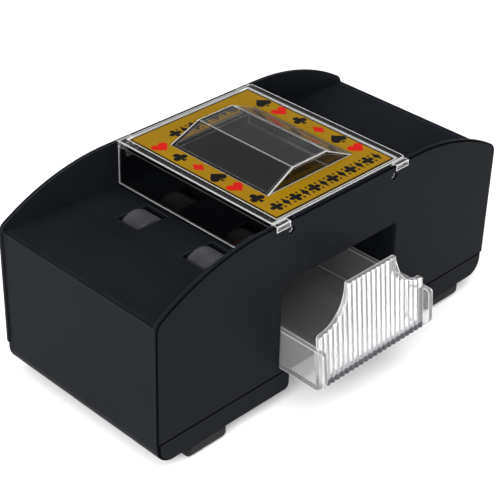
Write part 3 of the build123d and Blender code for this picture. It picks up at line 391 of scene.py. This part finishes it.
finish_of = {
    "housing_plastic": moulded("black_satin_abs", rgb(0.0068, 0.0077, 0.0096), low=0.38, high=0.48,
                               specular=0.024, grain=2600.0, depth=0.03, round_edge=0.45,
                               edge_highlight=6.0, outer=True),
    "inner_plastic": moulded("black_smooth_abs", rgb(0.0075, 0.0078, 0.009), low=0.32, high=0.44,
                             specular=0.14, grain=1800.0, depth=0.015, round_edge=0.3, edge_highlight=4.5),
    "switch_plastic": moulded("black_nylon", rgb(0.02, 0.02, 0.022), low=0.45, high=0.55,
                              specular=0.35, grain=2200.0, depth=0.02, round_edge=0.2, edge_highlight=2.0),
    "gear_plastic": moulded("white_acetal", rgb(0.72, 0.69, 0.60), low=0.30, high=0.42,
                            specular=0.5, grain=1500.0, depth=0.01, round_edge=0.1, edge_highlight=1.05),
    "motor_cap_plastic": moulded("white_nylon", rgb(0.74, 0.72, 0.66), low=0.40, high=0.5,
                                 specular=0.5, grain=1700.0, depth=0.02, round_edge=0.2, edge_highlight=1.05),
    "clear_plastic": clear("clear_polystyrene", (0.985, 0.99, 0.995), frost=0.012, ripple=0.05,
                           body=1.0, edge_body=0.52, round_edge=0.9),
    "gold_label": printed("gold_print", rgb(0.222, 0.120, 0.0006), gloss=0.22),
    "foot_rubber": rubber("foot_rubber", rgb(0.005, 0.005, 0.006), grain=1400.0, depth=0.05),
    "roller_rubber": rubber("roller_rubber", rgb(0.030, 0.030, 0.033), grain=1800.0, depth=0.04),
    "pinion_brass": metal("turned_brass", rgb(0.78, 0.56, 0.22), low=0.22, high=0.36,
                          stretch=(1.0, 0.08, 1.0), depth=0.006),
    "bush_bronze": metal("sintered_bronze", rgb(0.52, 0.33, 0.17), low=0.42, high=0.56,
                         stretch=(1.0, 1.0, 1.0), depth=0.02),
    "shaft_steel": metal("ground_steel", rgb(0.62, 0.63, 0.65), low=0.16, high=0.26,
                         stretch=(0.1, 1.0, 0.1), depth=0.003),
    "motor_steel": metal("drawn_steel", rgb(0.58, 0.59, 0.60), low=0.26, high=0.38,
                         stretch=(1.0, 0.06, 1.0), depth=0.006),
    "steel_screw": metal("zinc_screw", rgb(0.50, 0.52, 0.55), low=0.26, high=0.40,
                         stretch=(1.0, 1.0, 0.2), depth=0.006),
    "nickel_contact": metal("nickel_strip", rgb(0.70, 0.68, 0.62), low=0.16, high=0.28,
                            stretch=(0.1, 1.0, 1.0), depth=0.004),
    "spring_steel": metal("spring_wire", rgb(0.60, 0.60, 0.61), low=0.20, high=0.32,
                          stretch=(0.2, 0.2, 1.0), depth=0.004),
    "red_wire": insulation("red_pvc", rgb(0.50, 0.02, 0.012)),
    "black_wire": insulation("black_pvc", rgb(0.012, 0.012, 0.012)),
}
print_black = printed("black_print", rgb(0.004, 0.0035, 0.003), gloss=0.26)
print_red = printed("red_print", rgb(0.40, 0.006, 0.002), gloss=0.24)
button_low, button_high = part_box("start_button")
button_ring_radius, button_ring_half_line = 2.5 * mm, 0.28 * mm
button_plastic = moulded("button_plastic", rgb(0.0062, 0.0070, 0.0088), low=0.34, high=0.44,
                         specular=0.08, grain=2600.0, depth=0.02, round_edge=0.3, edge_highlight=4.0,
                         ring=((button_low + button_high) / 2, button_ring_radius, button_ring_half_line))
tray_low, tray_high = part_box("card_tray")
# Where the painted dark reflection sits at the foot of the tray's flutes.
flute_foot, flute_back, flute_inset = 3.0 * mm, 4.0 * mm, 2.5 * mm
tray_clear = clear("tray_polystyrene", (0.985, 0.985, 0.992), frost=0.04, ripple=0.14,
                   body=0.90, edge_body=0.40, round_edge=0.4,
                   foot=(tray_low.z + flute_foot, tray_low.y + flute_back, tray_high.x - flute_inset))

for node, thing in nodes.items():
    thing.data.materials.clear()
    thing.data.materials.append(finish_of[slot_of[node]])
nodes["card_tray"].data.materials[0] = tray_clear
nodes["start_button"].data.materials[0] = button_plastic


# ---------------------------------------------------------------- mesh helpers

def new_piece(name, material, body, slot):
    mesh = bpy.data.meshes.new(name)
    piece = bpy.data.objects.new(name, mesh)
    scene.collection.objects.link(piece)
    mesh.materials.append(material)
    return piece, body, slot


def finish_piece(made, bm, smooth=True, angle=35):
    piece, body, slot = made
    bmesh.ops.recalc_face_normals(bm, faces=bm.faces)
    bm.to_mesh(piece.data)
    bm.free()
    for face in piece.data.polygons:
        face.use_smooth = smooth
    if smooth:
        piece.data.set_sharp_from_angle(angle=math.radians(angle))
    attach(piece, body)
    return piece


def raised(bm, outline, base, top):
    """A flat shape with thickness: outline in metres, counter-clockwise, from base to top."""
    low = [bm.verts.new((x, y, base)) for x, y in outline]
    high = [bm.verts.new((x, y, top)) for x, y in outline]
    bm.faces.new(high)
    bm.faces.new(list(reversed(low)))
    for i in range(len(outline)):
        j = (i + 1) % len(outline)
        bm.faces.new((low[i], low[j], high[j], high[i]))


def placed(outline, x, y, size):
    return [(x + px * size, y + py * size) for px, py in outline]


# ---------------------------------------------------------------- printed ornament on the label

def heart_curve(t):
    """A heart with its point down, 32 wide and 29 high, from the notch at t = 0."""
    x = 16 * math.sin(t) ** 3
    y = 13 * math.cos(t) - 5 * math.cos(2 * t) - 2 * math.cos(3 * t) - math.cos(4 * t)
    return x, y


def heart_points(count=64):
    height, lift = 29.0, 2.5
    points = []
    for i in range(count):
        x, y = heart_curve(2 * math.pi * i / count)
        points.append((-x / height, (y + lift) / height))
    return points


def spade_points(count=64):
    """The heart upside down, left open at its notch for a stem that flares to its foot."""
    height, drop, first = 31.0, 1.0, 0.42
    stem_half, stem_flare, stem_top, stem_length = 1.1, 3.4, -8.5, 7.0
    points = []
    for i in range(count + 1):
        x, y = heart_curve(first + (2 * math.pi - 2 * first) * i / count)
        points.append((x / height, -(y - drop) / height))
    down = [k / 4 for k in range(5)]
    for side, steps in ((-1, down), (1, [1 - s for s in down])):
        for s in steps:
            points.append((side * (stem_half + stem_flare * s * s) / height,
                           (stem_top - stem_length * s) / height))
    return points


def club_points(count=120):
    lobes = ((0.0, 0.27, 0.215), (-0.255, -0.06, 0.215), (0.255, -0.06, 0.215), (0.0, 0.03, 0.16))
    centre = (0.0, 0.04)

    def inside(x, y):
        if any((x - a) ** 2 + (y - b) ** 2 < r * r for a, b, r in lobes):
            return True
        if -0.48 <= y <= 0.0:
            s = -y / 0.48
            return abs(x) < 0.035 + 0.11 * s * s * s
        return False

    step_size, steps = 0.005, 140
    points = []
    for i in range(count):
        angle = 2 * math.pi * i / count
        reach = 0.0
        for step in range(1, steps + 1):
            r = step * step_size
            if inside(centre[0] + r * math.cos(angle), centre[1] + r * math.sin(angle)):
                reach = r
        points.append((centre[0] + reach * math.cos(angle), centre[1] + reach * math.sin(angle)))
    return points


def diamond_points(count=8):
    corners = ((0.38, 0.0), (0.0, 0.5), (-0.38, 0.0), (0.0, -0.5))
    points = []
    for k in range(4):
        a, b = corners[k], corners[(k + 1) % 4]
        for i in range(count):
            s = i / count
            pull = 1 - 0.10 * math.sin(math.pi * s)
            points.append(((a[0] * (1 - s) + b[0] * s) * pull, (a[1] * (1 - s) + b[1] * s) * pull))
    return points


def petal_points(count=72):
    """A four-petalled rosette."""
    points = []
    for i in range(count):
        angle = 2 * math.pi * i / count
        r = 0.17 + 0.33 * abs(math.cos(2 * angle)) ** 0.8
        points.append((r * math.cos(angle), r * math.sin(angle)))
    return points


def lozenge_points():
    return [(0.22, 0.0), (0.09, 0.20), (0.0, 0.5), (-0.09, 0.20), (-0.22, 0.0), (-0.09, -0.20),
            (0.0, -0.5), (0.09, -0.20)]


def dot_points(count=24):
    return [(0.5 * math.cos(2 * math.pi * i / count), 0.5 * math.sin(2 * math.pi * i / count))
            for i in range(count)]


label_low, label_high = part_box("label_plate")
ink_base, ink_top = label_high.z - 0.02 * mm, label_high.z + 0.025 * mm
shapes = {"heart": (heart_points(), 7.3 * mm), "club": (club_points(), 7.4 * mm),
          "diamond": (diamond_points(), 7.4 * mm), "spade": (spade_points(), 7.6 * mm)}
left_column = ("heart", "club", "diamond", "spade", "heart", "club")
right_column = ("spade", "heart", "club", "diamond", "spade", "heart")
label_mid_y = (label_low.y + label_high.y) / 2
column_pitch = 11.35 * mm
column_top = label_mid_y + 29.2 * mm
left_inset, right_inset = 5.3 * mm, 4.8 * mm
red_bm, black_bm = bmesh.new(), bmesh.new()
for x, column in ((label_low.x + left_inset, left_column), (label_high.x - right_inset, right_column)):
    for row, name in enumerate(column):
        outline, size = shapes[name]
        target = red_bm if name in ("heart", "diamond") else black_bm
        raised(target, placed(outline, x, column_top - row * column_pitch, size), ink_base, ink_top)
finish_piece(new_piece("red_suits", print_red, "cover", "gold_label"), red_bm, smooth=False)
finish_piece(new_piece("black_suits", print_black, "cover", "gold_label"), black_bm, smooth=False)

band_bm = bmesh.new()
ornament_pitch, dot_offset, dot_size = 5.5 * mm, 2.3 * mm, 1.2 * mm
lozenge_size, petal_size = 7.4 * mm, 6.4 * mm
front_band = (label_low.y + 6.2 * mm, -29.0 * mm, 31.5 * mm)
back_band = (label_high.y - 9.2 * mm, -17.5 * mm, 15.5 * mm)
for y, x_from, x_to in (front_band, back_band):
    count = int(round((x_to - x_from) / ornament_pitch))
    for i in range(count + 1):
        x = x_from + (x_to - x_from) * i / count
        if i % 2:
            raised(band_bm, placed(lozenge_points(), x, y, lozenge_size), ink_base, ink_top)
        else:
            raised(band_bm, placed(petal_points(), x, y, petal_size), ink_base, ink_top)
        if i < count:
            middle = x + (x_to - x_from) / count / 2
            for lift in (-dot_offset, dot_offset):
                raised(band_bm, placed(dot_points(), middle, y + lift, dot_size), ink_base, ink_top)
finish_piece(new_piece("label_ornament", print_black, "cover", "gold_label"), band_bm, smooth=False)


def ring_strip(bm, half_x, half_y, width, mid_x, mid_y, base, top, radius):
    """A rectangular frame with rounded corners."""
    def corner_path(hx, hy, r):
        path = []
        for cx, cy, start in ((hx - r, hy - r, 0), (-hx + r, hy - r, 90), (-hx + r, -hy + r, 180),
                              (hx - r, -hy + r, 270)):
            for k in range(7):
                a = math.radians(start + 15 * k)
                path.append((mid_x + cx + r * math.cos(a), mid_y + cy + r * math.sin(a)))
        return path
    rings = []
    for z in (base, top):
        for shrink, r in ((0.0, radius), (width, max(radius - width, 0.05 * mm))):
            path = corner_path(half_x - shrink, half_y - shrink, r)
            rings.append([bm.verts.new((x, y, z)) for x, y in path])
    outer_low, inner_low, outer_high, inner_high = rings
    n = len(outer_low)
    for i in range(n):
        j = (i + 1) % n
        bm.faces.new((outer_high[i], outer_high[j], inner_high[j], inner_high[i]))
        bm.faces.new((outer_low[j], outer_low[i], inner_low[i], inner_low[j]))
        bm.faces.new((outer_low[i], outer_low[j], outer_high[j], outer_high[i]))
        bm.faces.new((inner_low[j], inner_low[i], inner_high[i], inner_high[j]))


edge_bm = bmesh.new()
half_x, half_y = (label_high.x - label_low.x) / 2, (label_high.y - label_low.y) / 2
border_width, border_corner = 0.7 * mm, 0.6 * mm
ring_strip(edge_bm, half_x, half_y, border_width, (label_low.x + label_high.x) / 2, label_mid_y,
           ink_base, ink_top, border_corner)
finish_piece(new_piece("label_border", print_black, "cover", "gold_label"), edge_bm, smooth=False)


# ---------------------------------------------------------------- ribbed rubber rollers

def ribbed_roller(node, body):
    low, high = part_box(node)
    mid = (low + high) / 2
    radius, half = (high.z - low.z) / 2, (high.y - low.y) / 2
    ribs, per_rib, bore = 44, 8, 1.52 * mm
    rib_depth, shoulder, dish, waist = 0.42 * mm, 0.9 * mm, 0.25 * mm, 0.5 * mm
    profile = []                                   # across, radius, depth of the ribs there
    profile.append((-half + dish, bore, 0.0))
    profile.append((-half + dish, radius * 0.55, 0.0))
    profile.append((-half, radius * 0.62, 0.0))
    for k in range(6):
        a = math.radians(90 * k / 5)
        profile.append((-half + shoulder * (1 - math.cos(a)), radius - shoulder * (1 - math.sin(a)), k / 5))
    profile.append((-half * 0.08, radius, 1.0))
    profile.append((-half * 0.04, radius - waist, 0.3))
    profile += [(-y, r, d) for y, r, d in reversed(profile)]
    bm = bmesh.new()
    count = ribs * per_rib
    rings = []
    for y, r, depth in profile:
        ring = []
        for i in range(count):
            a = 2 * math.pi * i / count
            wave = (0.5 - 0.5 * math.cos(ribs * a)) ** 0.7
            rr = r - rib_depth * depth * (1 - wave)
            ring.append(bm.verts.new((mid.x + rr * math.cos(a), mid.y + y, mid.z + rr * math.sin(a))))
        rings.append(ring)
    for a, b in zip(rings, rings[1:]):
        for i in range(count):
            j = (i + 1) % count
            bm.faces.new((a[i], a[j], b[j], b[i]))
    for i in range(count):
        j = (i + 1) % count
        bm.faces.new((rings[-1][i], rings[-1][j], rings[0][j], rings[0][i]))
    piece = finish_piece(new_piece("ribbed_" + node, finish_of["roller_rubber"], body, "roller_rubber"), bm,
                         angle=50)
    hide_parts(node)


for side in ("left", "right"):
    for face in ("front", "back"):
        ribbed_roller(f"{side}_{face}_roller", f"{side}_roller")


# ---------------------------------------------------------------- button spring, which gives under the button

def coil_spring(node, body, turns, wire):
    """A round-wire spring standing across, wound from its low end."""
    low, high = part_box(node)
    mid = (low + high) / 2
    radius = (high.x - low.x) / 2 - wire
    steps, sides = turns * 40, 12
    rise = high.y - low.y - 2 * wire
    slope = math.atan2(rise / turns, 2 * math.pi * radius)
    bm = bmesh.new()
    rings = []
    for i in range(steps + 1):
        a = 2 * math.pi * turns * i / steps
        out = Vector((math.cos(a), 0, math.sin(a)))
        across = Vector((math.sin(a) * math.sin(slope), math.cos(slope), -math.cos(a) * math.sin(slope)))
        centre = Vector((mid.x, low.y + wire + rise * i / steps, mid.z)) + out * radius
        rings.append([bm.verts.new(centre + (out * math.cos(b) + across * math.sin(b)) * wire)
                      for b in (2 * math.pi * k / sides for k in range(sides))])
    for a, b in zip(rings, rings[1:]):
        for k in range(sides):
            j = (k + 1) % sides
            bm.faces.new((a[k], a[j], b[j], b[k]))
    bm.faces.new(list(reversed(rings[0])))
    bm.faces.new(rings[-1])
    piece = finish_piece(new_piece("coiled_" + node, finish_of["spring_steel"], body, "spring_steel"), bm)
    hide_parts(node)
    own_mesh(piece)


coil_spring("button_spring", "housing", 5, 0.336 * mm)


# ---------------------------------------------------------------- door grip ribs

door_low, door_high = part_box("battery_door")
rib_bm = bmesh.new()
grip_ribs, grip_inset, grip_pitch, corners = 6, 17.0 * mm, 2.4 * mm, 24
for k in range(grip_ribs):
    across = door_high.y - grip_inset - k * grip_pitch
    half_length, half_depth, drop = 11.0 * mm - 0.8 * k * mm, 0.55 * mm, 0.45 * mm
    outline = []
    for i in range(corners):
        a = 2 * math.pi * i / corners
        outline.append((math.copysign(abs(math.cos(a)) ** 0.35, math.cos(a)) * half_length,
                        math.copysign(abs(math.sin(a)) ** 0.8, math.sin(a)) * half_depth))
    centre_x = (door_low.x + door_high.x) / 2
    levels = ((0.0, 1.0), (-drop * 0.7, 0.86), (-drop, 0.55))
    rings = [[rib_bm.verts.new((centre_x + x * s, across + y * s, door_low.z + 0.05 * mm + z))
              for x, y in outline] for z, s in levels]
    for a, b in zip(rings, rings[1:]):
        for i in range(corners):
            j = (i + 1) % corners
            rib_bm.faces.new((a[i], b[i], b[j], a[j]))
    rib_bm.faces.new(rings[-1])
    rib_bm.faces.new(list(reversed(rings[0])))
finish_piece(new_piece("door_grip", finish_of["housing_plastic"], "door", "housing_plastic"), rib_bm)


# ---------------------------------------------------------------- floor

def floor_material():
    """Pale paper, which is clear when it is looked at from below."""
    m = Build("pale_floor")
    m.set(Specular_IOR_Level=0.1, Emission_Color=rgb(1.0, 1.0, 1.0), Emission_Strength=0.18)
    grain = m.noise(30.0, 3.0)
    tone = m.mix(grain, rgb(0.82, 0.82, 0.82), rgb(0.85, 0.85, 0.85))
    below = m.add("ShaderNodeMixShader")
    m.link(m.add("ShaderNodeNewGeometry").outputs["Backfacing"], below.inputs[0])
    m.link(m.shader.outputs[0], below.inputs[1])
    m.link(m.add("ShaderNodeBsdfTransparent").outputs[0], below.inputs[2])
    m.link(below.outputs[0], m.out.inputs[0])
    return m.finish(tone, m.remap(grain, 0.0, 1.0, 0.6, 0.7), m.bump(m.noise(400.0, 2.0), 0.00002, 0.1))


floor_bm = bmesh.new()
floor_reach = 6.0
bmesh.ops.create_grid(floor_bm, x_segments=4, y_segments=4, size=floor_reach)
floor_mesh = bpy.data.meshes.new("floor")
floor_bm.to_mesh(floor_mesh)
floor_bm.free()
floor_mesh.materials.append(floor_material())
floor = bpy.data.objects.new("floor", floor_mesh)
scene.collection.objects.link(floor)

bpy.context.view_layer.update()
